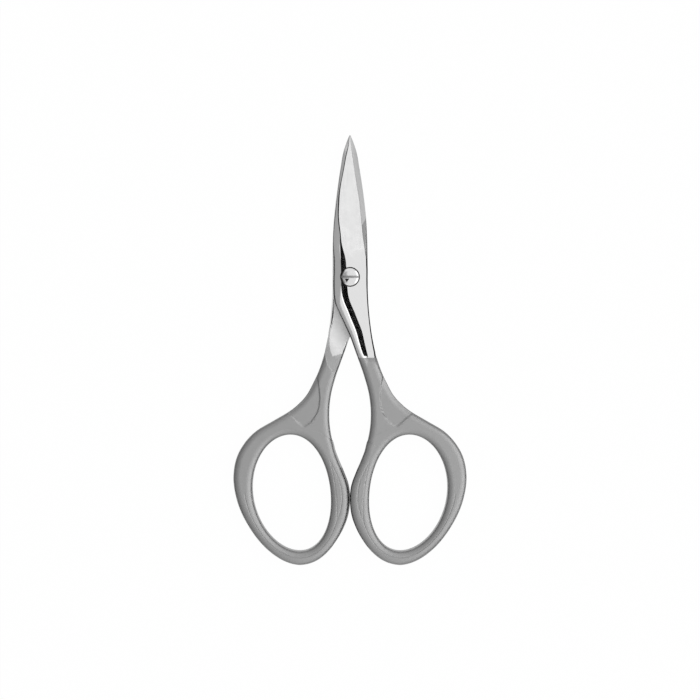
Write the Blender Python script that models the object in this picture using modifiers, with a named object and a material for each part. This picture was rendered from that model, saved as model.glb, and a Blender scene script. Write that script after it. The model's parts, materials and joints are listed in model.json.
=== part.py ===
"""Nail scissors: two forged halves that cross at a slotted screw.

The scissors lie closed on the ground, tips along +Y, with the screw's axis along +Z.
The upper half carries the ring at +X. The lower half is the same forging turned over.
"""
import math

import bmesh
import bpy
import numpy as np

mm = 0.001

# Lengths from the screw's axis, and the width of the joint area
blade_reach = 30.4 * mm
handle_reach = 61.7 * mm
joint_width = 7.55 * mm

# Thickness: the rings, the shanks and the raised bar beside the joint are all full stock
stock_thickness = 4.0 * mm
joint_face_height = 1.1 * mm
shank_rim_height = 1.3 * mm
spine_rim_height = 0.85 * mm
cutting_edge_thickness = 0.12 * mm
tip_width = 0.25 * mm

# Gaps between the pieces
ride_gap = 0.25 * mm
stop_gap = 0.3 * mm
screw_gap = 0.2 * mm

# Raised bar, the slope in degrees of its flank and of the face's chamfer, and the rounded edges
bar_width = 2.0 * mm
flank_angle = 38
least_flank_width = 0.005 * mm
least_edge_width = 0.02 * mm
handle_edge_width = 1.4 * mm

# Finger holes and the metal round them
hole_width = 16.7 * mm
hole_length = 24.95 * mm
hole_lean = 0.97 * mm
hole_bow = 0.75 * mm
ring_band = 4.4 * mm

# Where the inner face leaves the ride plane and sweeps down to full stock
ramp_start = 11.1 * mm
ramp_bend = 6.5 * mm
ramp_angle = 21
ramp_side_length = 0.3 * mm

# Shallow recess between the shank and the ring's far side
recess_depth = 0.15 * mm
recess_wall = 0.25 * mm

# Slotted screw
head_radius = 2.0 * mm
head_height = 0.55 * mm
head_proud = 0.05 * mm
head_edge = 0.12 * mm
screw_radius = 1.2 * mm
slot_width = 0.6 * mm
slot_depth = 0.3 * mm
cut_overrun = 2.0 * mm

# Places along a half: 1 at the tip, 0 at the screw, -1 at the neck where the ring begins.
# Each pair is a place and a share: for the blade's outlines the share of half the joint width,
# for the shank's outlines the share of the way from the joint's edge to the ring's neck.
spine_shares = ((1.0, 0.03), (0.968, 0.14), (0.93, 0.25), (0.898, 0.335), (0.861, 0.412), (0.788, 0.51),
                (0.685, 0.645), (0.544, 0.804), (0.403, 0.92), (0.262, 0.98), (0.15, 1.0), (0.03, 1.0))
cutting_edge_shares = ((1.0, 0.03), (0.94, 0.045), (0.898, 0.085), (0.79, 0.215), (0.685, 0.335),
                       (0.544, 0.52), (0.403, 0.636), (0.262, 0.756), (0.19, 0.85), (0.13, 0.965), (0.07, 1.0))
inner_shank_shares = ((-0.07, 0.0), (-0.113, 0.018), (-0.147, 0.055), (-0.226, 0.21), (-0.36, 0.491),
                      (-0.4785, 0.69), (-0.601, 0.89), (-0.724, 1.04), (-0.847, 1.087), (-0.939, 1.055))
outer_shank_shares = ((-0.05, 0.0), (-0.14, 0.006), (-0.264, 0.026), (-0.387, 0.06), (-0.509, 0.115),
                      (-0.632, 0.208), (-0.7546, 0.353), (-0.816, 0.486), (-0.877, 0.68), (-0.939, 0.88))

# Widths and heights along a half, by the same places: shares of the bar's width, of the joint face's
# height, of the bar's rise over that face, and of the bar's width for its crest
bar_width_shares = ((1.0, 0.05), (0.93, 0.28), (0.8, 0.32), (0.72, 0.3), (0.65, 0.25), (0.58, 0.235),
                    (0.508, 0.3), (0.437, 0.385), (0.367, 0.55), (0.296, 0.73), (0.226, 0.8), (0.155, 0.87),
                    (0.08, 0.91), (-0.08, 0.97), (-0.2, 1.02), (-0.263, 0.96), (-0.325, 0.9), (-0.39, 0.76),
                    (-0.45, 0.7), (-0.6, 0.62))
face_height_shares = ((1.0, 0.24), (0.93, 0.276), (0.86, 0.368), (0.755, 0.5), (0.65, 0.643),
                      (0.545, 0.768), (0.44, 0.826), (0.3, 0.845), (0.2, 0.885), (0.1, 1.0))
face_drop_shares = ((0.98, 0.03), (0.9, 0.12), (0.68, 0.13), (0.58, 0.2), (0.32, 0.2), (0.27, 0.23),
                    (0.23, 0.34), (0.19, 0.55), (0.15, 0.79), (0.11, 0.96), (0.07, 1.0), (-0.44, 1.0),
                    (-0.49, 0.85), (-0.56, 0.0))
crest_place_shares = ((0.1, 0.97), (-0.06, 0.97), (-0.11, 0.86), (-0.17, 0.76), (-0.26, 0.72), (-0.4, 0.74),
                      (-0.5, 0.85))
ring_band_shares = ((-90, 0.665), (-55, 0.57), (-30, 0.61), (-5, 0.79), (15, 0.95), (30, 1.0), (45, 0.95),
                    (90, 0.8), (120, 0.95), (134, 0.885), (143, 0.745), (152, 0.715), (162, 0.765), (176, 0.885),
                    (190, 0.89), (200, 0.86), (212, 0.77), (225, 0.68), (240, 0.64), (255, 0.65), (270, 0.665))

# The recess's two borders: place along the shank, and share across it
recess_side_shares = ((-0.5, 1.3), (-0.58, 1.16), (-0.61, 0.92), (-0.635, 0.77), (-0.695, 0.525), (-0.74, 0.375),
                      (-0.79, 0.29), (-0.83, 0.27), (-0.87, 0.285), (-0.9, 0.325), (-0.92, 0.385))
recess_foot_shares = ((-0.92, 0.385), (-0.9, 0.485), (-0.87, 0.65), (-0.845, 0.865), (-0.82, 1.12))
recess_rim_share = 0.3

# The bar's side, which turns from one form on the blade to a steeper one on the shank, its shoulder,
# the face's far rim, and limits to each where the tip is narrow
bar_round_share = 0.6
shank_crown_share = 0.55
rim_rise_share = 1.06
shoulder_fall_share = 0.17
far_rim_share = 0.71
bar_limit_share = 0.6
flank_limit_share = 0.3
edge_limit_share = 0.15
handle_rim_share = 0.6

# How far the ramp's foot leans, as a share of the distance from the shank's middle line
ramp_lean_share = 0.9

# Where the neck meets the ring, in degrees round the finger hole from +X, how far past it the
# outlines run on, and how deep the seam between them dips towards the hole
neck_outer_angle = 45
neck_inner_angle = 134
neck_overlap_angle = 9
neck_dip_share = 0.6

# Places between which one form of the section turns into the next
face_far_shares = (0.22, 0.09)
shoulder_start_shares = (0.0, -0.12)
bar_form_shares = (0.0, -0.2)
handle_form_shares = (-0.44, -0.56)
handle_rim_shares = (-0.45, -0.6)
even_rows_shares = (-0.56, -0.8)
bent_rows_shares = (-0.7, -1.0)

# How finely the forging is modelled
blade_rows = 19
shank_rows = 31
ring_rows = 38
outline_steps = 160
ring_columns = (0.0, 0.03, 0.1, 0.25, 0.5, 0.75, 0.9, 0.97, 1.0)
section_columns = ((0, 0.0), (0, 0.06), (0, 0.25), (0, 0.6), (0, 1.0), (1, 0.5), (1, 1.0), (2, 0.25), (2, 0.5),
                   (2, 0.75), (3, 0.0), (3, 0.5), (3, 1.0))


def smooth(knots, where):
    """Cubic curve through pairs of place and value, held level past both ends."""
    places, values = np.array(sorted(knots)).T
    slope = np.gradient(values, places)
    i = np.clip(np.searchsorted(places, where) - 1, 0, len(places) - 2)
    span = places[i + 1] - places[i]
    t = np.clip((where - places[i]) / span, 0, 1)
    rise = t * t * (3 - 2 * t) * (values[i + 1] - values[i])
    return values[i] + rise + span * t * (1 - t) * ((1 - t) * slope[i] - t * slope[i + 1])


def ease(start, end, value):
    """Go smoothly from 0 at start to 1 at end."""
    t = np.clip((value - start) / (end - start), 0, 1)
    return t * t * (3 - 2 * t)


def rounded(depth):
    """Height of a quarter-round edge, from 0 at its rim to 1 where the depth reaches 1."""
    return np.sqrt(1 - (1 - np.clip(depth, 0, 1)) ** 2)


def finger_hole(angle):
    """Leaning egg-shaped hole, as points round its own centre."""
    rise = np.sin(angle)
    across = hole_width / 2 * np.cos(angle) + hole_lean * rise - hole_bow * rise ** 2
    return np.stack((across, hole_length / 2 * rise), axis=-1)


def ring_point(degrees, share):
    """Point of the ring at an angle, from the hole's edge at share 0 to the outside at share 1."""
    angle = np.radians(degrees)
    step = np.radians(1)
    along = finger_hole(angle + step) - finger_hole(angle - step)
    outward = np.stack((along[..., 1], -along[..., 0]), axis=-1)
    outward /= np.linalg.norm(outward, axis=-1, keepdims=True)
    band = ring_band * smooth(ring_band_shares, (degrees + 90) % 360 - 90)
    return finger_hole(angle) + outward * (band * share)[..., None]


def ring_centre():
    """The ring's side stops on the middle line and its far end lies at the handle's reach."""
    outside = ring_point(np.arange(360.0), np.ones(360))
    return np.array((stop_gap / 2 - outside[:, 0].min(), -handle_reach - outside[:, 1].min()))


def neck_points():
    """The two points where the shank's outlines run into the ring, inner side first."""
    ends = np.array((neck_inner_angle, neck_outer_angle), dtype=float)
    return ring_point(ends, np.ones(2)) + ring_centre()


def outline(side, place):
    """Left (-1) or right (+1) outline of the blade and shank at each place along the half."""
    inner_neck, outer_neck = neck_points()
    neck = inner_neck if side < 0 else outer_neck
    past = neck_inner_angle + neck_overlap_angle if side < 0 else neck_outer_angle - neck_overlap_angle
    beyond = ring_point(np.array([float(past)]), np.ones(1))[0] + ring_centre()
    edge = side * joint_width / 2
    blade = spine_shares if side < 0 else cutting_edge_shares
    shank = inner_shank_shares if side < 0 else outer_shank_shares
    knots = [(at, edge * share) for at, share in blade]
    knots += [(at, edge + (neck[0] - edge) * share) for at, share in shank]
    knots += [(-1.0, neck[0]), (-beyond[1] / neck[1], beyond[0])]
    x = smooth(knots, place)
    y = np.where(place > 0, place * blade_reach, -place * neck[1])
    return np.stack((x, y), axis=-1)


def heights_at(place):
    """Heights across the outer face: the bar's crest, its inner end, the face beside it and its far side."""
    full = stock_thickness / 2
    drop = (full - joint_face_height) * smooth(face_drop_shares, place)
    blade_crest = joint_face_height * smooth(face_height_shares, place) + drop
    crest = np.where(place > 0, np.minimum(blade_crest, full), full)
    shoulder = (1 - smooth(crest_place_shares, place)) * ease(*shoulder_start_shares, place)
    bar_end = crest - full * shoulder_fall_share * shoulder
    near = np.minimum(crest - drop, bar_end)
    edge = ride_gap / 2 + cutting_edge_thickness
    far = edge + (near - edge) * ease(*face_far_shares, place)
    return crest, bar_end, near, far


def widths_at(place, total):
    """Widths of the bar, its flank, the face and the face's chamfer across a section."""
    room = np.maximum(total - tip_width / 2, 0)
    crest, bar_end, near, far = heights_at(place)
    bar = np.minimum(bar_width * smooth(bar_width_shares, place), room * bar_limit_share)
    flank = (bar_end - near) / math.tan(math.radians(flank_angle)) + least_flank_width
    flank = np.minimum(flank, room * flank_limit_share)
    cutting_edge = ride_gap / 2 + cutting_edge_thickness
    edge = (far - cutting_edge) * (1 - far_rim_share) / math.tan(math.radians(flank_angle))
    edge = edge + handle_edge_width * handle_rim_share * ease(*handle_rim_shares, place)
    edge = np.minimum(edge + least_edge_width, room * edge_limit_share)
    return bar, flank, total - bar - flank - edge, edge


def neck_depth(share):
    """Share of the ring's band that the seam leaves to the ring, dipping between its two ends."""
    return 1 - neck_dip_share * (1 - (2 * share - 1) ** 2)


def neck_arc(share):
    """Seam between shank and ring, from its inner end at share 0 to its outer end at 1."""
    angle = neck_inner_angle + (neck_outer_angle - neck_inner_angle) * share
    return ring_point(angle, neck_depth(share)) + ring_centre()


def bar_grid(rows, columns):
    """Points of the blade and shank, row by row from the tip to the seam where the ring begins."""
    left, right = outline(-1, rows), outline(1, rows)
    total = right[:, 0] - left[:, 0]
    bar, flank, face, edge = widths_at(rows, total)
    starts = np.stack((0 * bar, bar, bar + flank, bar + flank + face))
    sizes = np.stack((bar, flank, face, edge))
    zones = np.array([zone for zone, share in columns])
    shares = np.array([share for zone, share in columns])
    across = (starts[zones] + sizes[zones] * shares[:, None]).T / total[:, None]
    even = (1 - np.cos(np.linspace(0, math.pi, len(columns)))) / 2
    across = across + (even - across) * ease(*even_rows_shares, rows)[:, None]
    points = left[:, None] + (right - left)[:, None] * across[..., None]
    ends = left[-1] + (right[-1] - left[-1]) * across[..., None]
    bend = ease(*bent_rows_shares, rows) ** 2
    return points + bend[:, None, None] * (neck_arc(across) - ends), even


def ring_grid(neck_shares, around, columns):
    """Points of the ring, section by section from the neck all the way round the finger hole."""
    rest = np.linspace(neck_outer_angle, neck_inner_angle - 360, around)[1:]
    angles = np.concatenate((neck_inner_angle + (neck_outer_angle - neck_inner_angle) * neck_shares, rest))
    depth = np.concatenate((neck_depth(neck_shares), np.ones(len(rest))))
    across = depth[:, None] * np.array(columns)
    return ring_point(np.repeat(angles[:, None], len(columns), 1), across) + ring_centre()


def edge_distance(points, line):
    """Distance from each point to the nearest stretch of a line."""
    flat = points.reshape(-1, 2)
    nearest = np.full(len(flat), np.inf)
    for a, b in zip(line[:-1], line[1:]):
        way = b - a
        t = np.clip((flat - a) @ way / (way @ way), 0, 1)
        nearest = np.minimum(nearest, np.linalg.norm(flat - a - t[:, None] * way, axis=1))
    return nearest.reshape(points.shape[:-1])


def recess_line(knots):
    """Border of the recess, from places along the half and shares across it."""
    places, shares = np.array(knots).T
    left, right = outline(-1, places), outline(1, places)
    return left + (right - left) * shares[:, None]


def recess(points):
    """Depth of the shallow recess beside the neck, stepped down inside its two borders."""
    side, foot = recess_line(recess_side_shares), recess_line(recess_foot_shares)
    beside = points[..., 0] > np.interp(points[..., 1], side[::-1, 1], side[::-1, 0])
    above = points[..., 1] > np.interp(points[..., 0], foot[:, 0], foot[:, 1])
    inside = np.minimum(edge_distance(points, side), edge_distance(points, foot)) * beside * above
    return recess_depth * ease(0, recess_wall, inside)


def handle_height(points):
    """Half thickness of the handle: full stock, crowned between its rims, with its shallow recess."""
    places = np.linspace(1, -1, outline_steps)
    far_side = np.linspace(neck_outer_angle, neck_inner_angle - 360, outline_steps)
    ring_outside = ring_point(far_side, np.ones(outline_steps)) + ring_centre()
    outside = np.concatenate((outline(1, places), ring_outside[1:-1], outline(-1, places[::-1])))
    hole = finger_hole(np.radians(np.linspace(0, 360, outline_steps))) + ring_centre()
    depth = edge_distance(points, outside) / handle_edge_width
    hole_depth = edge_distance(points, hole) / handle_edge_width
    full = stock_thickness / 2
    height = shank_rim_height + (full - shank_rim_height) * rounded(depth) * rounded(hole_depth)
    return height - recess(points) * ease(0, recess_rim_share, depth)


def outer_height(rows, columns):
    """Height of the outer face of the blade, joint and shank above the middle plane."""
    place = rows[:, None]
    zones = np.array([zone for zone, share in columns])
    share = np.array([share for zone, share in columns])
    crest, bar_end, near, far = heights_at(place)
    crest_at = smooth(crest_place_shares, place)
    ride = ride_gap / 2
    form = ease(*bar_form_shares, place)
    rim = ride + (spine_rim_height - ride) * crest / (stock_thickness / 2) * (1 + rim_rise_share * form)
    rise = np.clip(share / crest_at, 0, 1)
    blade_side = (rounded(rise / bar_round_share) + rise) / 2
    crowned = np.sin(math.pi * np.minimum(rise, 1 / 2))
    shank_side = shank_crown_share * crowned + (1 - shank_crown_share) * (1 - (1 - rise) ** 2)
    shoulder = np.clip((share - crest_at) / (1 - crest_at), 0, 1)
    bar = rim + (crest - rim) * (blade_side * (1 - form) + shank_side * form)
    bar = bar + (bar_end - crest) * shoulder ** 2
    flank = bar_end + (near - bar_end) * share
    face = near + (far - near) * share
    edge = ride + cutting_edge_thickness
    far_rim = edge + (far - edge) * far_rim_share
    return np.choose(zones, (bar, flank, face, far + (far_rim - far) * share))


def inner_height(points, handle):
    """Height of the inner face: flat where the halves ride, then a leaning ramp down to full stock."""
    x, y = points[..., 0], points[..., 1]
    sides = zip((-1, 1), neck_points())
    inner, outer = [outline(side, np.clip(y / -neck[1], -1, 0))[..., 0] for side, neck in sides]
    past_other_half = x + inner - ride_gap
    leant = np.linalg.norm(points, axis=-1) + ramp_lean_share * (x - (inner + outer) / 2)
    past = np.maximum(leant - ramp_start, 0)
    sweep = np.where(past < ramp_bend, past ** 2 / (2 * ramp_bend), past - ramp_bend / 2)
    ramp = np.minimum(sweep * math.tan(math.radians(ramp_angle)), ride_gap / 2 + handle)
    return ride_gap / 2 - ramp * ease(0, ramp_side_length, past_other_half) * (y < 0)


def half_mesh(name):
    """One forging: two skins over the same plan, closed along the outline, the hole and the tip."""
    blade = np.linspace(1, 0, blade_rows, endpoint=False)
    shank = np.linspace(0, -1, shank_rows)
    rows = np.concatenate((blade, shank))
    bar, neck_shares = bar_grid(rows, section_columns)
    ring = ring_grid(neck_shares, ring_rows, ring_columns)
    bar_handle, ring_handle = handle_height(bar), handle_height(ring)
    form = ease(*handle_form_shares, rows)[:, None]
    bar_top = outer_height(rows, section_columns) * (1 - form) + bar_handle * form
    mesh = bmesh.new()
    bar_skins = skins(mesh, bar, bar_top, inner_height(bar, bar_handle))
    ring_skins = skins(mesh, ring, ring_handle, inner_height(ring, ring_handle))
    neck_count = len(neck_shares)
    walls = [[skin[0] for skin in bar_skins]]
    walls.append([[row[0] for row in skin] for skin in bar_skins])
    walls.append([[row[-1] for row in skin] for skin in bar_skins])
    walls.append([[row[0] for row in skin] for skin in ring_skins])
    walls.append([[row[-1] for row in skin[neck_count - 1:]] for skin in ring_skins])
    for upper, lower in walls:
        strip(mesh, upper, lower)
    bmesh.ops.remove_doubles(mesh, verts=mesh.verts, dist=tip_width / 1000)
    bmesh.ops.recalc_face_normals(mesh, faces=mesh.faces)
    result = bpy.data.meshes.new(name)
    mesh.to_mesh(result)
    mesh.free()
    return result


def skins(mesh, points, upper, lower):
    """The outer and inner skins of one patch, as rows of vertices."""
    both = []
    for heights in (upper, lower):
        skin = [[mesh.verts.new((x, y, z)) for (x, y), z in zip(*pair)] for pair in zip(points, heights)]
        for first, second in zip(skin, skin[1:]):
            strip(mesh, first, second)
        both.append(skin)
    return both


def strip(mesh, first, second):
    """One row of faces between two rows of vertices."""
    for a, b, c, d in zip(first, first[1:], second[1:], second):
        mesh.faces.new((a, b, c, d))


def metal(name, colour, roughness):
    """Plain metal finish."""
    material = bpy.data.materials.new(name)
    material.use_nodes = True
    shader = material.node_tree.nodes["Principled BSDF"]
    shader.inputs["Base Color"].default_value = (*colour, 1)
    shader.inputs["Metallic"].default_value = 1
    shader.inputs["Roughness"].default_value = roughness
    return material


def cylinder(name, radius, low, high):
    """Round cutter along the screw's axis."""
    bpy.ops.mesh.primitive_cylinder_add(vertices=48, radius=radius, depth=high - low,
                                        location=(0, 0, (low + high) / 2))
    return as_cutter(bpy.context.object, name)


def as_cutter(obj, name):
    """Put an object with the cutters, where it is drawn as wire and never rendered."""
    obj.name = name
    obj.display_type = "WIRE"
    obj.hide_render = True
    for collection in obj.users_collection:
        collection.objects.unlink(obj)
    cutters.objects.link(obj)
    return obj


def cut(obj, cutter):
    """Take a cutter out of an object."""
    modifier = obj.modifiers.new(cutter.name, "BOOLEAN")
    modifier.operation = "DIFFERENCE"
    modifier.solver = "EXACT"
    modifier.object = cutter


def add_half(name, material):
    """One half, standing on the screw's axis with its outer face up."""
    half = bpy.data.objects.new(name, half_mesh(name))
    half.data.materials.append(material)
    parts.objects.link(half)
    return half


def screw_mesh_object(material):
    """Slotted screw, turned about its axis from the middle plane of the joint."""
    top = joint_face_height + head_proud
    under = top - head_height
    end = -joint_face_height
    profile = ((0, top), (head_radius - head_edge, top), (head_radius, top - head_edge), (head_radius, under),
               (screw_radius, under), (screw_radius, end + head_edge), (screw_radius - head_edge, end), (0, end))
    data = bpy.data.meshes.new("pivot_screw")
    data.from_pydata([(x, 0, z) for x, z in profile], [(i, i + 1) for i in range(len(profile) - 1)], [])
    screw = bpy.data.objects.new("pivot_screw", data)
    screw.data.materials.append(material)
    parts.objects.link(screw)
    turn = screw.modifiers.new("turned", "SCREW")
    turn.steps = turn.render_steps = 48
    turn.use_merge_vertices = True
    turn.merge_threshold = head_edge / 1000
    bpy.ops.mesh.primitive_cube_add(size=1, location=(0, 0, top - slot_depth + cut_overrun / 2))
    slot = as_cutter(bpy.context.object, "screw_slot")
    slot.scale = (2 * head_radius + cut_overrun, slot_width, cut_overrun)
    cut(screw, slot)
    return screw


for old in list(bpy.data.objects):
    bpy.data.objects.remove(old)
parts = bpy.data.collections.new("nail_scissors")
cutters = bpy.data.collections.new("cutters")
bpy.context.scene.collection.children.link(parts)
bpy.context.scene.collection.children.link(cutters)

forged_steel = metal("forged_steel", (0.52, 0.52, 0.53), 0.35)
polished_steel = metal("polished_steel", (0.72, 0.72, 0.73), 0.15)

upper_half = add_half("upper_half", forged_steel)
lower_half = add_half("lower_half", forged_steel)
pivot_screw = screw_mesh_object(polished_steel)

seat_height = joint_face_height + head_proud - head_height - screw_gap
head_seat = cylinder("head_seat", head_radius + screw_gap, seat_height, stock_thickness)
running_bore = cylinder("running_bore", screw_radius + screw_gap, -cut_overrun, stock_thickness)
tapped_bore = cylinder("tapped_bore", screw_radius + screw_gap, -stock_thickness, cut_overrun)
cut(upper_half, head_seat)
cut(upper_half, running_bore)
cut(lower_half, tapped_bore)

# The lower half is turned over about the length, and all of it is lifted onto the ground
lower_half.rotation_euler = (0, math.pi, 0)
joint = bpy.data.objects.new("joint", None)
joint.location = (0, (handle_reach - blade_reach) / 2, stock_thickness / 2)
parts.objects.link(joint)
for piece in (upper_half, lower_half, pivot_screw, head_seat, running_bore, tapped_bore):
    piece.parent = joint
bpy.data.objects["screw_slot"].parent = joint
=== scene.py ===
"""Nail scissors, closed on a pale studio floor and seen from straight above.

Two forged stainless halves, mirror-polished at the blades and joint and blasted satin on the
handles, turn on a slotted screw. Each forging is modelled finely over its frame solid.
"""

import json
import math

import bmesh
import bpy
import numpy as np
from mathutils import Matrix, Vector


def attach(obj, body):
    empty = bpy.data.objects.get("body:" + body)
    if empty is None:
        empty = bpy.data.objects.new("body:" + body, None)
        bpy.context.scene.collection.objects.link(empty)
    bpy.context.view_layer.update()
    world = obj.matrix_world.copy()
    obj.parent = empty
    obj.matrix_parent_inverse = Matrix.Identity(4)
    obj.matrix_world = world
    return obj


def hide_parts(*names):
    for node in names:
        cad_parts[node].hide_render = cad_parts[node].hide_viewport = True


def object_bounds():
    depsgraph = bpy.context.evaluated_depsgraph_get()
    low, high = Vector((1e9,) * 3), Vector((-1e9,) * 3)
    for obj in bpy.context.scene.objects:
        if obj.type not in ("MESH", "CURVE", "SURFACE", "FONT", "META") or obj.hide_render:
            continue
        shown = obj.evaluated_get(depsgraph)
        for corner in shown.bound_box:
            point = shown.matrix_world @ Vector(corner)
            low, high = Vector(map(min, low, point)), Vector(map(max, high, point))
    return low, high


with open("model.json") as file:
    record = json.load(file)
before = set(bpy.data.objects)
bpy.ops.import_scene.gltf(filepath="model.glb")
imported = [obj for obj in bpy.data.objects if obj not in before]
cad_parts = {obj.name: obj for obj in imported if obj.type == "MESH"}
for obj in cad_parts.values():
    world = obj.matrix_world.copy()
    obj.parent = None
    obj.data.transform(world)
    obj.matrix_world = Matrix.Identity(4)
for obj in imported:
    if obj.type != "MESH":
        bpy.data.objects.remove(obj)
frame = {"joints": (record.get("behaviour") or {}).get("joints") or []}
cad_low, cad_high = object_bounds()

mm = 0.001

# Lengths read from the frame: the screw's axis, both reaches and the stock
pivot_joint = next(joint for joint in frame["joints"] if joint["name"] == "scissor_pivot")
pivot = Vector(pivot_joint["pos_m"])
blade_reach = cad_high.y - pivot.y
handle_reach = pivot.y - cad_low.y
stock_thickness = cad_high.z - cad_low.z

# Forging, as in the frame: the joint, the blade's edges and the gaps
joint_width = 7.55 * mm
joint_face_height = 1.1 * mm
shank_rim_height = 1.3 * mm
spine_rim_height = 0.85 * mm
cutting_edge_thickness = 0.12 * mm
tip_width = 0.25 * mm
ride_gap = 0.25 * mm
stop_gap = 0.3 * mm

# Raised bar, the slope in degrees of its flank and of the face's chamfer, and the rounded edges
bar_width = 2.0 * mm
flank_angle = 38
least_flank_width = 0.005 * mm
handle_edge_width = 1.4 * mm

# Finger holes and the metal round them
hole_width = 16.7 * mm
hole_length = 24.95 * mm
hole_lean = 0.97 * mm
hole_bow = 0.75 * mm
ring_band = 4.4 * mm

# Where the inner face leaves the ride plane and sweeps down to full stock
ramp_start = 11.1 * mm
ramp_bend = 6.5 * mm
ramp_angle = 21
ramp_side_length = 0.3 * mm

# Shallow recess beside the neck
recess_depth = 0.15 * mm
recess_wall = 0.25 * mm

# Grinding that only the fine model carries: the blade's hollow, its hone line, and the bevels of the
# inner face, each with the slopes in degrees of its inner and outer part
hollow_grind_depth = 0.08 * mm
hone_depth = 0.01 * mm
outer_bevel_width = 0.55 * mm
inner_bevel_width = 0.34 * mm
spine_bevel_width = 0.38 * mm
steep_bevel_angles = (38, 52)
inner_bevel_angles = (31, 31)

# Rings where they meet: how far their sides lean, and the part painted near-black as shade between them, in
# degrees round the finger hole and from a share of the band outwards
stop_lean = 0.17 * mm
stop_face_angle = 197
stop_face_spread = 37
stop_face_share = 0.965

# Two fine forging lines beside that part. They meet at both angles, at the first share of the band,
# and bow apart by the second
forging_line_depth = 0.05 * mm
forging_line_width = 0.3 * mm
forging_line_angles = (150, 207)
forging_line_shares = (0.46, 0.17)

# How far from the screw's axis the finishes end: the outer polish, the grinding of the inner face and
# the arc that bounds it beside the outer rim. A satin margin runs along the blade's back
polish_end = 17.3 * mm
ground_end = 15.95 * mm
ground_lean_share = 0.264
ground_arc_centre = (-5.67 * mm, -13.6 * mm)
ground_arc_radius = 10.0 * mm
ground_arc_start = 9.4 * mm
spine_margin_width = 1.1 * mm

# Slotted screw, with the punched mark that locks it
head_radius = 1.92 * mm
head_height = 0.55 * mm
head_proud = 0.05 * mm
head_edge = 0.12 * mm
head_dome = 0.24 * mm
dome_reach_share = 0.9
seat_gap = 0.2 * mm
screw_radius = 1.2 * mm
screw_gap = 0.1 * mm
slot_width = 0.5 * mm
slot_depth = 0.3 * mm
lock_mark_radius = 0.68 * mm
lock_mark_depth = 0.35 * mm
lock_mark_place = (-0.7 * mm, -0.69 * mm)
softened_edge_width = 0.04 * mm
overrun = 2.0 * mm

# Places along a half: 1 at the tip, 0 at the screw, -1 at the neck where the ring begins.
# Each pair is a place and a share: for the blade's outlines the share of half the joint width,
# for the shank's outlines the share of the way from the joint's edge to the ring's neck.
spine_shares = ((1.0, 0.03), (0.968, 0.14), (0.93, 0.25), (0.898, 0.335), (0.861, 0.412), (0.788, 0.51),
                (0.685, 0.645), (0.544, 0.804), (0.403, 0.92), (0.262, 0.98), (0.15, 1.0), (0.03, 1.0))
cutting_edge_shares = ((1.0, 0.03), (0.94, 0.045), (0.898, 0.085), (0.79, 0.215), (0.685, 0.335),
                       (0.544, 0.52), (0.403, 0.636), (0.262, 0.756), (0.19, 0.85), (0.13, 0.965),
                       (0.07, 1.0))
inner_shank_shares = ((-0.07, 0.0), (-0.113, 0.018), (-0.147, 0.055), (-0.226, 0.21), (-0.36, 0.491),
                      (-0.4785, 0.69), (-0.601, 0.89), (-0.724, 1.04), (-0.847, 1.087), (-0.939, 1.055))
outer_shank_shares = ((-0.05, 0.0), (-0.14, 0.006), (-0.264, 0.026), (-0.387, 0.06), (-0.509, 0.115),
                      (-0.632, 0.208), (-0.7546, 0.353), (-0.816, 0.486), (-0.877, 0.68), (-0.939, 0.88))

# Widths and heights along a half, by the same places: shares of the bar's width, of the joint face's
# height, of the bar's rise over that face, and of the bar's width for its crest
bar_width_shares = ((1.0, 0.05), (0.93, 0.28), (0.8, 0.32), (0.72, 0.3), (0.65, 0.25), (0.58, 0.235),
                    (0.508, 0.3), (0.437, 0.385), (0.367, 0.55), (0.296, 0.73), (0.226, 0.8), (0.155, 0.87),
                    (0.08, 0.91), (-0.08, 0.97), (-0.2, 1.02), (-0.263, 0.96), (-0.325, 0.9), (-0.39, 0.76),
                    (-0.45, 0.7), (-0.6, 0.62))
face_height_shares = ((1.0, 0.24), (0.93, 0.276), (0.86, 0.368), (0.755, 0.5), (0.65, 0.643),
                      (0.545, 0.768), (0.44, 0.826), (0.3, 0.845), (0.2, 0.885), (0.1, 1.0))
face_drop_shares = ((0.98, 0.03), (0.9, 0.12), (0.68, 0.13), (0.58, 0.2), (0.32, 0.2), (0.27, 0.23),
                    (0.23, 0.34), (0.19, 0.55), (0.15, 0.79), (0.11, 0.96), (0.07, 1.0), (-0.44, 1.0),
                    (-0.49, 0.85), (-0.56, 0.0))
crest_place_shares = ((0.1, 0.97), (-0.06, 0.97), (-0.11, 0.86), (-0.17, 0.76), (-0.26, 0.72), (-0.4, 0.74),
                      (-0.5, 0.85))

# Width of the ring's band by degrees round the finger hole from +X, as shares of the widest
ring_band_shares = ((-90, 0.665), (-55, 0.57), (-30, 0.61), (-5, 0.79), (15, 0.95), (30, 1.0), (45, 0.95),
                    (90, 0.8), (120, 0.95), (134, 0.885), (143, 0.745), (152, 0.715), (162, 0.765),
                    (176, 0.885), (190, 0.89), (200, 0.86), (212, 0.77), (225, 0.68), (240, 0.64),
                    (255, 0.65), (270, 0.665))

# The recess's two borders: place along the shank, and share across it
recess_side_shares = ((-0.5, 1.3), (-0.58, 1.16), (-0.61, 0.92), (-0.635, 0.77), (-0.695, 0.525),
                      (-0.74, 0.375), (-0.79, 0.29), (-0.83, 0.27), (-0.87, 0.285), (-0.9, 0.325),
                      (-0.92, 0.385))
recess_foot_shares = ((-0.92, 0.385), (-0.9, 0.485), (-0.87, 0.65), (-0.845, 0.865), (-0.82, 1.12))
recess_rim_share = 0.3

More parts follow.
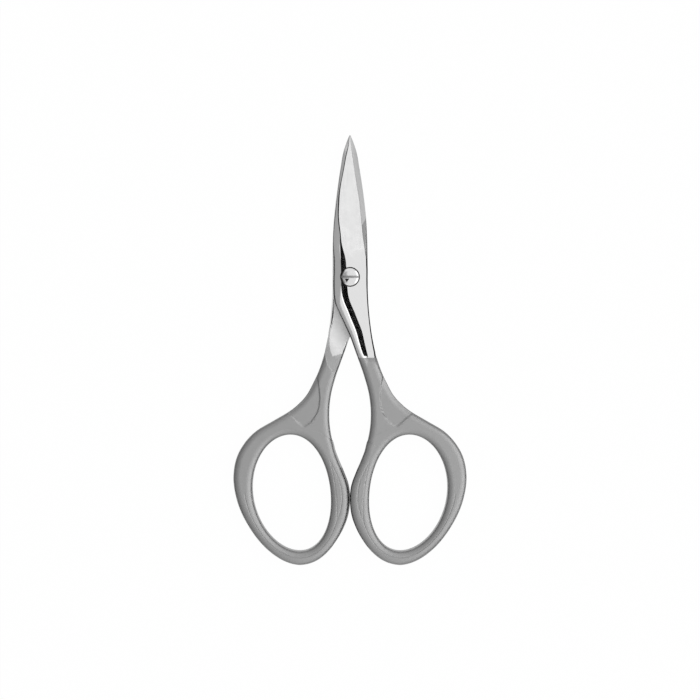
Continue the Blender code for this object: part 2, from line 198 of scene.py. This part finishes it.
# The bar's side: how far across it is rounded on the blade, how much of it is crowned on the shank, how
# much higher its rim is there and how far its shoulder falls. Then the chamfer at the face's far side,
# the most of a narrow section that each zone may take, and the width of the handle's rounded rim
bar_round_share = 0.6
shank_crown_share = 0.55
rim_rise_share = 1.06
shoulder_fall_share = 0.17
far_rim_share = 0.71
bar_limit_share = 0.6
flank_limit_share = 0.3
edge_limit_share = 0.15
handle_rim_share = 0.6

# How far the ramp's foot leans, as a share of the distance from the shank's middle line
ramp_lean_share = 0.9

# Where the neck meets the ring, in degrees round the finger hole from +X, how far past it the
# outlines run on, and how deep the seam between them dips towards the hole
neck_inner_angle = 134
neck_outer_angle = 45
neck_overlap_angle = 9
neck_dip_share = 0.6

# Places between which one form of the section turns into the next, and the finishes' own places
face_far_shares = (0.22, 0.09)
shoulder_start_shares = (0.0, -0.12)
bar_form_shares = (0.0, -0.2)
handle_form_shares = (-0.44, -0.56)
handle_rim_shares = (-0.45, -0.6)
even_rows_shares = (-0.56, -0.8)
bent_rows_shares = (-0.7, -1.0)
spine_margin_shares = (0.43, 0.35)
inner_polish_end_share = -0.5

# Levels, as shares of the blade's reach from the screw's axis, over which the hollow and the bevels
# begin, and over which they end
hollow_level_shares = ((0.14, 0.3), (1.0, 0.8))
outer_bevel_shares = ((-0.02, -0.12), (-0.42, -0.3))
inner_bevel_shares = ((-0.38, -0.43), (-0.8, -0.7))
spine_bevel_shares = ((0.5, 0.22), (0.0, 0.05))

# How finely it is modelled: rows along a half, columns in each zone across it, sections and columns
# round the ring, steps along the outline that the rounding is measured from, and round the screw
blade_rows = 130
polished_rows = 110
satin_rows = 150
zone_columns = (28, 10, 16, 7)
ring_sections = 230
ring_columns = 41
outline_steps = 260
screw_steps = 128
dome_steps = 10
edge_steps = 7
merge_distance = 0.00025 * mm


def smooth(knots, where):
    """Cubic curve through pairs of place and value, held level past both ends."""
    places, values = np.array(sorted(knots)).T
    slope = np.gradient(values, places)
    i = np.clip(np.searchsorted(places, where) - 1, 0, len(places) - 2)
    span = places[i + 1] - places[i]
    t = np.clip((where - places[i]) / span, 0, 1)
    rise = t * t * (3 - 2 * t) * (values[i + 1] - values[i])
    return values[i] + rise + span * t * (1 - t) * ((1 - t) * slope[i] - t * slope[i + 1])


def ease(start, end, value):
    """Go smoothly from 0 at start to 1 at end."""
    t = np.clip((value - start) / (end - start), 0, 1)
    return t * t * (3 - 2 * t)


def rounded(depth):
    """Height of a quarter-round edge, from 0 at its rim to 1 where the depth reaches 1."""
    return np.sqrt(1 - (1 - np.clip(depth, 0, 1)) ** 2)


def finger_hole(angle):
    """Leaning egg-shaped hole, as points round its own centre."""
    rise = np.sin(angle)
    across = hole_width / 2 * np.cos(angle) + hole_lean * rise - hole_bow * rise ** 2
    return np.stack((across, hole_length / 2 * rise), axis=-1)


def ring_point(degrees, share):
    """Point of the ring at an angle, from the hole's edge at share 0 to the outside at share 1."""
    angle = np.radians(degrees)
    step = np.radians(1)
    along = finger_hole(angle + step) - finger_hole(angle - step)
    outward = np.stack((along[..., 1], -along[..., 0]), axis=-1)
    outward /= np.linalg.norm(outward, axis=-1, keepdims=True)
    band = ring_band * smooth(ring_band_shares, (degrees + 90) % 360 - 90)
    return finger_hole(angle) + outward * (band * share)[..., None]


ring_outside = ring_point(np.arange(360.0), np.ones(360))
ring_centre = np.array((stop_gap / 2 - ring_outside[:, 0].min(), -handle_reach - ring_outside[:, 1].min()))
neck_angles = np.array((neck_inner_angle, neck_outer_angle), dtype=float)
overlap_angles = neck_angles + (neck_overlap_angle, -neck_overlap_angle)
neck_ends, neck_beyond = [ring_point(angles, np.ones(2)) + ring_centre
                          for angles in (neck_angles, overlap_angles)]


def outline(side, place):
    """Left (-1) or right (+1) outline of the blade and shank at each place along the half."""
    neck, beyond = (neck_ends[0], neck_beyond[0]) if side < 0 else (neck_ends[1], neck_beyond[1])
    edge = side * joint_width / 2
    blade = spine_shares if side < 0 else cutting_edge_shares
    shank = inner_shank_shares if side < 0 else outer_shank_shares
    knots = [(at, edge * share) for at, share in blade]
    knots += [(at, edge + (neck[0] - edge) * share) for at, share in shank]
    knots += [(-1.0, neck[0]), (-beyond[1] / neck[1], beyond[0])]
    y = np.where(place > 0, place * blade_reach, -place * neck[1])
    return np.stack((smooth(knots, place), y), axis=-1)


def section_columns(counts):
    """Zone and share of every column across a section: bar, flank, face, face edge."""
    zones, shares = [0], [0.0]
    for zone, count in enumerate(counts):
        zones += [zone] * count
        steps = np.arange(1, count + 1) / count
        shares += list(1 - np.cos(steps * math.pi / 2) if zone == 0 else steps)
    return np.array(zones), np.array(shares)


def heights_at(place):
    """Heights across the outer face: the bar's crest and inner end, and the face's near and far side."""
    full = stock_thickness / 2
    drop = (full - joint_face_height) * smooth(face_drop_shares, place)
    blade_crest = joint_face_height * smooth(face_height_shares, place) + drop
    crest = np.where(place > 0, np.minimum(blade_crest, full), full)
    shoulder = (1 - smooth(crest_place_shares, place)) * ease(*shoulder_start_shares, place)
    bar_end = crest - full * shoulder_fall_share * shoulder
    near = np.minimum(crest - drop, bar_end)
    edge = ride_gap / 2 + cutting_edge_thickness
    far = edge + (near - edge) * ease(*face_far_shares, place)
    return crest, bar_end, near, far


def widths_at(place, total):
    """Widths of the bar, its flank, the face and the face's rounded edge across a section."""
    room = np.maximum(total - tip_width / 2, 0)
    crest, bar_end, near, far = heights_at(place)
    bar = np.minimum(bar_width * smooth(bar_width_shares, place), room * bar_limit_share)
    flank = (bar_end - near) / math.tan(math.radians(flank_angle)) + least_flank_width
    flank = np.minimum(flank, room * flank_limit_share)
    edge = chamfer_depth(far) / math.tan(math.radians(flank_angle))
    edge = edge + handle_edge_width * handle_rim_share * ease(*handle_rim_shares, place)
    edge = np.minimum(edge, room * edge_limit_share)
    return bar, flank, total - bar - flank - edge, edge


def chamfer_depth(far):
    """How far the chamfer at the face's far side falls, down to a hone line on the blade."""
    return np.maximum((far - ride_gap / 2 - cutting_edge_thickness) * (1 - far_rim_share), hone_depth)


def neck_arc(share):
    """Seam between shank and ring, dipping towards the hole between its ends at share 0 and 1."""
    angle = neck_inner_angle + (neck_outer_angle - neck_inner_angle) * share
    return ring_point(angle, neck_depth(share)) + ring_centre


def neck_depth(share):
    """Share of the ring's band that the seam leaves to the ring."""
    return 1 - neck_dip_share * 4 * share * (1 - share)


def bar_grid(rows, zones, shares):
    """Points of the blade and shank, row by row from the tip to the seam where the ring begins."""
    left, right = outline(-1, rows), outline(1, rows)
    total = right[:, 0] - left[:, 0]
    bar, flank, face, edge = widths_at(rows, total)
    starts = np.stack((0 * bar, bar, bar + flank, bar + flank + face))
    sizes = np.stack((bar, flank, face, edge))
    across = (starts[zones] + sizes[zones] * shares[:, None]).T / total[:, None]
    even = (1 - np.cos(np.linspace(0, math.pi, len(zones)))) / 2
    across += (even - across) * ease(*even_rows_shares, rows)[:, None]
    points = left[:, None] + (right - left)[:, None] * across[..., None]
    ends = left[-1] + (right[-1] - left[-1]) * across[..., None]
    bend = ease(*bent_rows_shares, rows) ** 2
    return points + bend[:, None, None] * (neck_arc(across) - ends), even


def ring_grid(neck, around, columns):
    """Points of the ring, section by section from the neck round the finger hole, and their angles."""
    rest = np.linspace(neck_outer_angle, neck_inner_angle - 360, around)[1:]
    angles = np.concatenate((neck_inner_angle + (neck_outer_angle - neck_inner_angle) * neck, rest))
    depth = np.concatenate((neck_depth(neck), np.ones(len(rest))))
    points = ring_point(np.repeat(angles[:, None], len(columns), 1), depth[:, None] * columns)
    return points + ring_centre, angles


def edge_distance(points, line):
    """Distance from each point to the nearest stretch of a line."""
    flat = points.reshape(-1, 2)
    nearest = np.full(len(flat), np.inf)
    for a, b in zip(line[:-1], line[1:]):
        way = b - a
        t = np.clip((flat - a) @ way / (way @ way), 0, 1)
        nearest = np.minimum(nearest, np.linalg.norm(flat - a - t[:, None] * way, axis=1))
    return nearest.reshape(points.shape[:-1])


def recess_line(knots):
    """Border of the recess, from places along the half and shares across it."""
    places, shares = np.array(knots).T
    left, right = outline(-1, places), outline(1, places)
    return left + (right - left) * shares[:, None]


def recess(points):
    """Depth of the shallow recess beside the neck, stepped down inside its two borders."""
    side, foot = recess_line(recess_side_shares), recess_line(recess_foot_shares)
    beside = points[..., 0] > np.interp(points[..., 1], side[::-1, 1], side[::-1, 0])
    above = points[..., 1] > np.interp(points[..., 0], foot[:, 0], foot[:, 1])
    inside = np.minimum(edge_distance(points, side), edge_distance(points, foot)) * beside * above
    return recess_depth * ease(0, recess_wall, inside)


def handle_height(points):
    """Half thickness of the handle: full stock, rounded at every rim, with its shallow recess."""
    places = np.linspace(1, -1, outline_steps)
    far_side = np.linspace(neck_outer_angle, neck_inner_angle - 360, ring_sections)
    near_side = np.linspace(neck_inner_angle, neck_outer_angle, ring_sections // 3)[1:]
    outside_ring = ring_point(far_side, np.ones(ring_sections)) + ring_centre
    outside = np.concatenate((outline(1, places), outside_ring[1:-1], outline(-1, places[::-1])))
    hole = finger_hole(np.radians(np.concatenate((far_side, near_side)))) + ring_centre
    depth = edge_distance(points, outside) / handle_edge_width
    hole_depth = edge_distance(points, hole) / handle_edge_width
    full = stock_thickness / 2
    height = shank_rim_height + (full - shank_rim_height) * rounded(depth) * rounded(hole_depth)
    return height - recess(points) * ease(0, recess_rim_share, depth)


def outer_height(rows, zones, share):
    """Height of the outer face of the blade, joint and shank above the middle plane."""
    place = rows[:, None]
    crest, bar_end, near, far = heights_at(place)
    crest_at = smooth(crest_place_shares, place)
    ride = ride_gap / 2
    form = ease(*bar_form_shares, place)
    rim = ride + (spine_rim_height - ride) * crest / (stock_thickness / 2) * (1 + rim_rise_share * form)
    rise = np.clip(share / crest_at, 0, 1)
    blade_side = (rounded(rise / bar_round_share) + rise) / 2
    crowned = np.sin(math.pi * np.minimum(rise, 1 / 2))
    shank_side = shank_crown_share * crowned + (1 - shank_crown_share) * (1 - (1 - rise) ** 2)
    shoulder = np.clip((share - crest_at) / (1 - crest_at), 0, 1)
    bar = rim + (crest - rim) * (blade_side * (1 - form) + shank_side * form)
    bar = bar + (bar_end - crest) * shoulder ** 2
    flank = bar_end + (near - bar_end) * share
    face = near + (far - near) * share
    return np.choose(zones, (bar, flank, face, far - chamfer_depth(far) * share))


def inner_height(points, handle):
    """Height of the inner face: hollow-ground blade, flat joint, then a ramp down to full stock."""
    x, y = points[..., 0], points[..., 1]
    level = y / blade_reach
    left, right = outline(-1, np.clip(level, 0, 1))[..., 0], outline(1, np.clip(level, 0, 1))[..., 0]
    across = np.clip((x - left) / (right - left), 0, 1)
    hollow = hollow_grind_depth * 4 * across * (1 - across) * within(hollow_level_shares, level)
    sides = zip((-1, 1), neck_ends)
    inner_rim, outer_rim = [outline(side, np.clip(y / -neck[1], -1, 0))[..., 0] for side, neck in sides]
    ramp_side = ease(0, ramp_side_length, x + inner_rim - ride_gap) * (y < 0)
    leant = np.linalg.norm(points, axis=-1) + ramp_lean_share * (x - (inner_rim + outer_rim) / 2)
    past = np.maximum(leant - ramp_start, 0)
    sweep = np.where(past < ramp_bend, past ** 2 / (2 * ramp_bend), past - ramp_bend / 2)
    ramp = np.minimum(sweep * math.tan(math.radians(ramp_angle)), ride_gap / 2 + handle)
    outer, inner, spine = bevel_widths(level)
    bevels = bevel(outer, outer_rim - x, steep_bevel_angles) + bevel(spine, x - left, steep_bevel_angles)
    bevels += bevel(inner, x - inner_rim, inner_bevel_angles)
    return ride_gap / 2 + hollow + bevels - ramp * ramp_side


def within(spans, level):
    """Share of a shape at a level, where each span of levels leads from none of it to all of it."""
    start, end = spans
    return ease(*start, level) * ease(*end, level)


def bevel_widths(level):
    """Widths of the inner face's bevels: the shank's outer and inner rim and the blade's spine."""
    return (outer_bevel_width * within(outer_bevel_shares, level),
            inner_bevel_width * within(inner_bevel_shares, level),
            spine_bevel_width * within(spine_bevel_shares, level))


def bevel(width, depth, slopes):
    """How far a bevelled rim draws back from the face at a depth from the outline."""
    inner, outer = [math.tan(math.radians(slope)) for slope in slopes]
    steeper = (outer - inner) * np.clip(width / 2 - depth, 0, width / 2)
    return inner * np.clip(width - depth, 0, width) + steeper


def forging_lines(angles, shares):
    """Depth of the two fine lines on the ring beside the other ring, meeting at both ends."""
    start, end = forging_line_angles
    middle, bow = forging_line_shares
    bow = bow * np.sin(math.pi * np.clip((angles - start) / (end - start), 0, 1))
    apart = np.abs(np.abs(shares - middle) - bow) * ring_band
    return forging_line_depth * (1 - ease(0, forging_line_width / 2, apart)) * (bow > 0)


def strip(mesh, first, second, finishes):
    """One row of faces between two rows of vertices, with a finish for each face or one for all."""
    finishes = np.broadcast_to(finishes, len(first) - 1)
    for a, b, c, d, finish in zip(first, first[1:], second[1:], second, finishes):
        mesh.faces.new((a, b, c, d)).material_index = int(finish)


def skin(mesh, points, heights, finishes):
    """One skin of a patch, as rows of vertices, with a finish for each face or one for all."""
    rows = [[mesh.verts.new((x, y, z)) for (x, y), z in zip(*pair)] for pair in zip(points, heights)]
    finishes = np.broadcast_to(finishes, (len(rows) - 1, len(rows[0]) - 1))
    for first, second, row in zip(rows, rows[1:], finishes):
        strip(mesh, first, second, row)
    return rows


# Finishes of a half, in the order of its materials; the last is near-black painted shade
POLISHED, SATIN, GROUND, PAINTED_SHADE = 0, 1, 2, 3


def inner_finishes(bar, place):
    """Finishes of the inner face: ground, satin beyond and along the spine, and polished on its bevels."""
    points = bar[:-1, :-1]
    x, y = points[..., 0], points[..., 1]
    from_spine, from_rim = x - bar[:-1, :1, 0], bar[:-1, -1:, 0] - bar[:-1, 1:, 0]
    margin = (from_spine < spine_margin_width * ease(*spine_margin_shares, place)) & (place > 0)
    past_arc = np.linalg.norm(points - ground_arc_centre, axis=-1) > ground_arc_radius
    past_arc &= y < -ground_arc_start
    past_end = y + ground_lean_share * x < -ground_end
    finishes = np.where(margin | past_arc | past_end, SATIN, GROUND)
    outer_bevel, inner_bevel = bevel_widths(bar[:-1, :1, 1] / blade_reach)[:2]
    finishes[from_rim < outer_bevel] = POLISHED
    finishes[(from_spine < inner_bevel) & (place > inner_polish_end_share)] = POLISHED
    return finishes


def ring_finishes(angles, columns):
    """Finishes of the ring: satin, and near-black painted shade where it meets the other ring."""
    facing = (np.abs(angles[:-1] % 360 - stop_face_angle) < stop_face_spread) & (angles[:-1] < 0)
    return np.where(facing[:, None] & (columns[1:] > stop_face_share), PAINTED_SHADE, SATIN)


def ring_lean(angles, columns):
    """How far the ring's outer face reaches out towards the other ring, and its inner face draws back."""
    lean = stop_lean * np.clip(-np.cos(np.radians(angles)), 0, 1)[:, None] ** 2 * columns ** 2
    return np.stack((lean, 0 * lean), axis=-1) * (angles < neck_inner_angle)[:, None, None]


def forging(name):
    """One half as a fine mesh, outer face up, about the screw's axis."""
    zones, shares = section_columns(zone_columns)
    satin_start = polish_end / neck_ends[0][1]
    blade = np.linspace(1, 0, blade_rows, endpoint=False)
    polished_shank = np.linspace(0, satin_start, polished_rows, endpoint=False)
    satin_shank = np.linspace(satin_start, -1, satin_rows)
    rows = np.concatenate((blade, polished_shank, satin_shank))
    bar, neck = bar_grid(rows, zones, shares)
    columns = (1 - np.cos(np.linspace(0, math.pi, ring_columns))) / 2
    ring, angles = ring_grid(neck, ring_sections, columns)
    bar_handle, ring_handle = handle_height(bar), handle_height(ring)
    form = ease(*handle_form_shares, rows)[:, None]
    bar_top = outer_height(rows, zones, shares) * (1 - form) + bar_handle * form
    bar_inner, ring_inner = inner_height(bar, bar_handle), inner_height(ring, ring_handle)
    outer_finish = np.where(rows > satin_start, POLISHED, SATIN)[:-1]
    ring_finish = ring_finishes(angles, columns)
    lines = forging_lines(angles[:, None] % 360, columns)
    lean = ring_lean(angles, columns)
    mesh = bmesh.new()
    bar_skins = (skin(mesh, bar, bar_top, outer_finish[:, None]),
                 skin(mesh, bar, bar_inner, inner_finishes(bar, rows[:-1, None])))
    ring_skins = (skin(mesh, ring - lean, ring_handle - lines, ring_finish),
                  skin(mesh, ring + lean, ring_inner + lines, ring_finish))
    strip(mesh, bar_skins[0][0], bar_skins[1][0], POLISHED)
    for column in (0, -1):
        strip(mesh, *[[row[column] for row in one_skin] for one_skin in bar_skins], outer_finish)
    strip(mesh, *[[row[0] for row in one_skin] for one_skin in ring_skins], SATIN)
    free = len(neck) - 1
    strip(mesh, *[[row[-1] for row in one_skin[free:]] for one_skin in ring_skins], ring_finish[free:, -1])
    bmesh.ops.remove_doubles(mesh, verts=mesh.verts, dist=merge_distance)
    bmesh.ops.recalc_face_normals(mesh, faces=mesh.faces)
    data = bpy.data.meshes.new(name)
    mesh.to_mesh(data)
    mesh.free()
    return data


def add_node(tree, kind, values=None, **settings):
    """Add a shader node with its settings, and with a value or a link for each socket named."""
    node = tree.nodes.new(kind)
    for name, setting in settings.items():
        setattr(node, name, setting)
    for socket, value in (values or {}).items():
        if isinstance(value, bpy.types.NodeSocket):
            tree.links.new(value, node.inputs[socket])
        else:
            node.inputs[socket].default_value = value
    return node


def linear(code):
    """Turn an sRGB hex colour to the linear values that the shaders take."""
    levels = [int(code[i:i + 2], 16) / 255 for i in (1, 3, 5)]
    return [x / 12.92 if x <= 0.04045 else ((x + 0.055) / 1.055) ** 2.4 for x in levels] + [1]


def metal(name, dark, light, roughness_range, grain, depth):
    """Bare metal: grain is the size of its marks across, along and up, depth how deep they cut."""
    cloud_size = 1.5 * mm
    # The fine marks and the clouds together lie mostly within this range
    usual_range = (0.7, 1.3)
    material = bpy.data.materials.new(name)
    material.use_nodes = True
    tree = material.node_tree
    shader = tree.nodes["Principled BSDF"]
    shader.inputs["Metallic"].default_value = 1
    place = add_node(tree, "ShaderNodeTexCoord").outputs["Object"]
    stretched = add_node(tree, "ShaderNodeMapping", {0: place, "Scale": [1 / size for size in grain]})
    marks = add_node(tree, "ShaderNodeTexNoise", {0: stretched.outputs[0], "Scale": 1, "Detail": 3})
    cloud = add_node(tree, "ShaderNodeTexNoise", {0: place, "Scale": 1 / cloud_size, "Detail": 2})
    mixed = add_node(tree, "ShaderNodeMath", {0: marks.outputs[0], 1: cloud.outputs[0]}, operation="ADD")
    spread = add_node(tree, "ShaderNodeMapRange",
                      {"Value": mixed.outputs[0], "From Min": usual_range[0], "From Max": usual_range[1],
                       "To Min": roughness_range[0], "To Max": roughness_range[1]})
    tint = add_node(tree, "ShaderNodeMix", {"Factor": mixed.outputs[0]}, data_type="RGBA")
    tint.inputs[6].default_value = linear(dark)
    tint.inputs[7].default_value = linear(light)
    relief = add_node(tree, "ShaderNodeBump",
                      {"Height": marks.outputs[0], "Distance": depth, "Strength": 1})
    tree.links.new(tint.outputs[2], shader.inputs["Base Color"])
    tree.links.new(spread.outputs[0], shader.inputs["Roughness"])
    tree.links.new(relief.outputs[0], shader.inputs["Normal"])
    return material


def mirror_polished_stainless():
    """Martensitic stainless steel buffed on a wheel: a clear bright reflection with faint streaks."""
    # Real streaks are a few hundredths of a millimetre wide, drawn at 0.25 mm so that they show
    return metal("mirror_polished_stainless", "#D0D0D1", "#D8D8D8", (0.1, 0.2),
                 (0.25 * mm, 6 * mm, 0.25 * mm), 0.0004 * mm)


def satin_blasted_stainless():
    """Glass-bead blasted stainless steel: an even grey bloom with a fine grain and no clear reflection."""
    # Real dents are a few hundredths of a millimetre wide, drawn at 0.12 mm so that they show
    return metal("satin_blasted_stainless", "#929393", "#A0A0A0", (0.42, 0.5),
                 (0.12 * mm, 0.12 * mm, 0.12 * mm), 0.0006 * mm)


def cross_ground_stainless():
    """Inner faces ground across the blade on a fine wheel: dull silver with lines to the edge."""
    # Real lines are a few hundredths of a millimetre apart, drawn at 0.15 mm so that they show
    return metal("cross_ground_stainless", "#B4B4B5", "#C4C4C4", (0.38, 0.48),
                 (4 * mm, 0.15 * mm, 4 * mm), 0.0012 * mm)


def polished_screw_steel():
    """Turned and polished screw steel, a touch brighter than the halves, with a faint unevenness."""
    return metal("polished_screw_steel", "#CACACB", "#D4D4D4", (0.12, 0.2),
                 (0.3 * mm, 0.3 * mm, 0.3 * mm), 0.0004 * mm)


def painted_shade_steel():
    """Near-black steel that paints shade: the painted shade in the gap round the screw's head, in its lock
    mark and between the rings.
    """
    return metal("painted_shade_steel", "#262524", "#3A3938", (0.35, 0.55),
                 (0.2 * mm, 0.2 * mm, 0.2 * mm), 0.002 * mm)


def turned(name, profile):
    """Turned shape about the screw's axis, from the middle plane of the joint."""
    data = bpy.data.meshes.new(name)
    data.from_pydata([(x, 0, z) for x, z in profile], [(i, i + 1) for i in range(len(profile) - 1)], [])
    piece = bpy.data.objects.new(name, data)
    bpy.context.scene.collection.objects.link(piece)
    spin = piece.modifiers.new("spin", "SCREW")
    spin.steps = spin.render_steps = screw_steps
    spin.use_merge_vertices = True
    spin.merge_threshold = merge_distance
    piece.location = pivot
    return piece


def cut(piece, cutter):
    """Take a cutter out of a piece."""
    boolean = piece.modifiers.new(cutter.name, "BOOLEAN")
    boolean.solver = "EXACT"
    boolean.material_mode = "TRANSFER"
    boolean.object = cutter


def baked(piece, name, smooth_angle):
    """Replace a piece by the mesh that its modifiers make, shaded smooth up to an angle."""
    bpy.context.view_layer.update()
    shape = piece.evaluated_get(bpy.context.evaluated_depsgraph_get())
    data = bpy.data.meshes.new_from_object(shape)
    data.shade_smooth()
    data.set_sharp_from_angle(angle=math.radians(smooth_angle))
    result = bpy.data.objects.new(name, data)
    result.matrix_world = piece.matrix_world.copy()
    bpy.context.scene.collection.objects.link(result)
    bpy.data.objects.remove(piece)
    return result


def scissor_half(name, turn, cutters):
    """One finished half, turned about its length and bored for the screw."""
    blank = bpy.data.objects.new("blank", forging(name))
    bpy.context.scene.collection.objects.link(blank)
    # The fourth finish is the near-black painted shade
    for finish in (polished, satin, ground, painted_shade_finish):
        blank.data.materials.append(finish)
    blank.location = pivot
    blank.rotation_euler = (0, turn, 0)
    for cutter in cutters:
        cut(blank, cutter)
    return baked(blank, name + "_forging", smooth_angle=18)


def slotted_screw():
    """Screw with a polished slotted head, the punch mark that locks it, and a turned shank."""
    top = joint_face_height + head_proud
    under = top - head_height
    end = -joint_face_height
    edge = [(head_radius - head_edge * (1 - math.sin(a)), top - head_edge * (1 - math.cos(a)))
            for a in np.linspace(0, math.pi / 2, edge_steps)]
    dome = [(head_radius * share, top + head_dome * (1 - share ** 2))
            for share in np.linspace(0, dome_reach_share, dome_steps)]
    profile = dome + edge + [(head_radius, under), (screw_radius, under), (screw_radius, end + head_edge),
                             (screw_radius - head_edge, end), (0, end)]
    screw = turned("screw_blank", profile)
    screw.data.materials.append(screw_steel)
    bpy.ops.mesh.primitive_cube_add(size=1, location=pivot + Vector((0, 0, top - slot_depth + overrun / 2)))
    slot = bpy.context.object
    slot.scale = (2 * head_radius + overrun, slot_width, overrun)
    slot.data.materials.append(satin)
    cut(screw, slot)
    mark_place = pivot + Vector((*lock_mark_place, top + head_dome + overrun / 2 - lock_mark_depth))
    mark_top = lock_mark_radius / lock_mark_depth * overrun
    bpy.ops.mesh.primitive_cone_add(vertices=3, radius1=0, radius2=mark_top, depth=overrun,
                                    location=mark_place, rotation=(0, 0, math.pi))
    lock_mark = bpy.context.object
    # The punch mark is lined with near-black painted shade
    lock_mark.data.materials.append(painted_shade_finish)
    cut(screw, lock_mark)
    softened = screw.modifiers.new("softened", "BEVEL")
    softened.width = softened_edge_width
    softened.segments = 2
    softened.limit_method = "ANGLE"
    softened.angle_limit = math.radians(50)
    result = baked(screw, "slotted_screw", smooth_angle=35)
    for cutter in (slot, lock_mark):
        bpy.data.objects.remove(cutter)
    return result


def softbox(name, azimuth, zenith, distance, size, radiance):
    """Area lamp of an even brightness that shines on the scissors from a direction."""
    lamp = bpy.data.lights.new(name, "AREA")
    lamp.shape = "RECTANGLE"
    lamp.size, lamp.size_y = size
    lamp.energy = radiance * math.pi * size[0] * size[1]
    box = bpy.data.objects.new(name, lamp)
    bpy.context.scene.collection.objects.link(box)
    aim(box, azimuth, zenith, distance)


def flag(name, azimuth, zenith, distance, size, colour):
    """Card that the polished steel mirrors, which the camera looks past."""
    bpy.ops.mesh.primitive_plane_add(size=1)
    card = bpy.context.object
    card.name = name
    card.scale = (*size, 1)
    card.data.materials.append(matt(name, colour))
    aim(card, azimuth, zenith, distance)
    card.visible_camera = False


def aim(thing, azimuth, zenith, distance):
    """Put a lamp or card out in a direction, facing the scissors: azimuth 0 is +X, 90 is +Y."""
    turn = Matrix.Rotation(math.radians(azimuth), 4, "Z") @ Matrix.Rotation(math.radians(zenith), 4, "Y")
    thing.matrix_world = turn @ Matrix.Translation((0, 0, distance)) @ Matrix.Diagonal((*thing.scale, 1))


def matt(name, colour):
    """Plain matt paper or card."""
    material = bpy.data.materials.new(name)
    material.use_nodes = True
    shader = material.node_tree.nodes["Principled BSDF"]
    shader.inputs["Base Color"].default_value = linear(colour)
    shader.inputs["Roughness"].default_value = 1
    shader.inputs["Specular IOR Level"].default_value = 0
    return material


def white_sweep():
    """White photographic paper, lit through from below so that it stays white round the object."""
    # How much of what the camera and the steel see of the paper is this light
    glow_share = 0.98
    material = matt("white_sweep", "#F8F8F8")
    tree = material.node_tree
    ray = add_node(tree, "ShaderNodeLightPath").outputs
    seen = add_node(tree, "ShaderNodeMath", {0: ray["Is Camera Ray"], 1: ray["Is Glossy Ray"]},
                    operation="MAXIMUM")
    share = add_node(tree, "ShaderNodeMath", {0: seen.outputs[0], 1: glow_share}, operation="MULTIPLY")
    white = add_node(tree, "ShaderNodeEmission", {"Color": (1, 1, 1, 1), "Strength": 1})
    paper = tree.nodes["Principled BSDF"]
    both = add_node(tree, "ShaderNodeMixShader",
                    {0: share.outputs[0], 1: paper.outputs[0], 2: white.outputs[0]})
    tree.links.new(both.outputs[0], tree.nodes["Material Output"].inputs["Surface"])
    return material


polished = mirror_polished_stainless()
satin = satin_blasted_stainless()
ground = cross_ground_stainless()
screw_steel = polished_screw_steel()
painted_shade_finish = painted_shade_steel()

# The seat for the head, cut into the upper half alone, and the bore through both
seat_floor = joint_face_height + head_proud - head_height - screw_gap
seat_radius = head_radius + seat_gap
bore_radius = screw_radius + screw_gap
seat = turned("seat", [(0, stock_thickness), (seat_radius, stock_thickness),
                       (seat_radius, seat_floor), (0, seat_floor)])
# The seat's walls and floor take the near-black painted shade in the gap round the head
seat.data.materials.append(painted_shade_finish)
bore = turned("bore", [(0, stock_thickness), (bore_radius, stock_thickness),
                       (bore_radius, -stock_thickness), (0, -stock_thickness)])

upper = scissor_half("upper_half", 0, (seat, bore))
lower = scissor_half("lower_half", math.pi, (bore,))
screw = slotted_screw()
for cutter in (seat, bore):
    bpy.data.objects.remove(cutter)

for piece, node, body, slot in ((upper, "upper_half", "upper_scissor_half", "forged_steel"),
                                (lower, "lower_half", "lower_scissor_half", "forged_steel"),
                                (screw, "pivot_screw", "screw", "polished_steel")):
    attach(piece, body)
    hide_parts(node)

# Studio: a white floor, soft light from above and the right, and flags for the steel to mirror.
# Distances and sizes are in metres, directions in degrees
floor_width = 6
bpy.ops.mesh.primitive_plane_add(size=floor_width)
floor = bpy.context.object
floor.name = "floor"
floor.data.materials.append(white_sweep())

softbox("overhead_softbox", azimuth=0, zenith=8, distance=1.2, size=(0.76, 0.9), radiance=0.6)
softbox("right_softbox", azimuth=0, zenith=42, distance=1.0, size=(0.7, 1.2), radiance=1.5)
softbox("back_softbox", azimuth=90, zenith=34.6, distance=1.0, size=(0.5, 0.8), radiance=0.6)
softbox("front_softbox", azimuth=270, zenith=42.4, distance=1.0, size=(0.8, 0.8), radiance=0.6)
flag("right_black_flag", azimuth=0, zenith=76, distance=0.46, size=(0.26, 1.2), colour="#050505")
flag("left_grey_flag", azimuth=180, zenith=78, distance=0.46, size=(0.22, 1.2), colour="#505050")

world = bpy.data.worlds.new("studio_white")
world.use_nodes = True
world.node_tree.nodes["Background"].inputs["Color"].default_value = linear("#BCBCBC")
bpy.context.scene.world = world

# Camera straight above, so far up that the photo's scale holds at the scissors' middle plane
photo_pixels = 700
pixel_size = 0.2145 * mm
camera = bpy.data.cameras.new("camera")
camera.lens = 100
camera.sensor_width = 36
camera_rise = photo_pixels * pixel_size * camera.lens / camera.sensor_width
camera_object = bpy.data.objects.new("camera", camera)
camera_object.location = (0, 0, stock_thickness / 2 + camera_rise)
bpy.context.scene.collection.objects.link(camera_object)
bpy.context.scene.camera = camera_object
bpy.context.scene.view_settings.view_transform = "Standard"
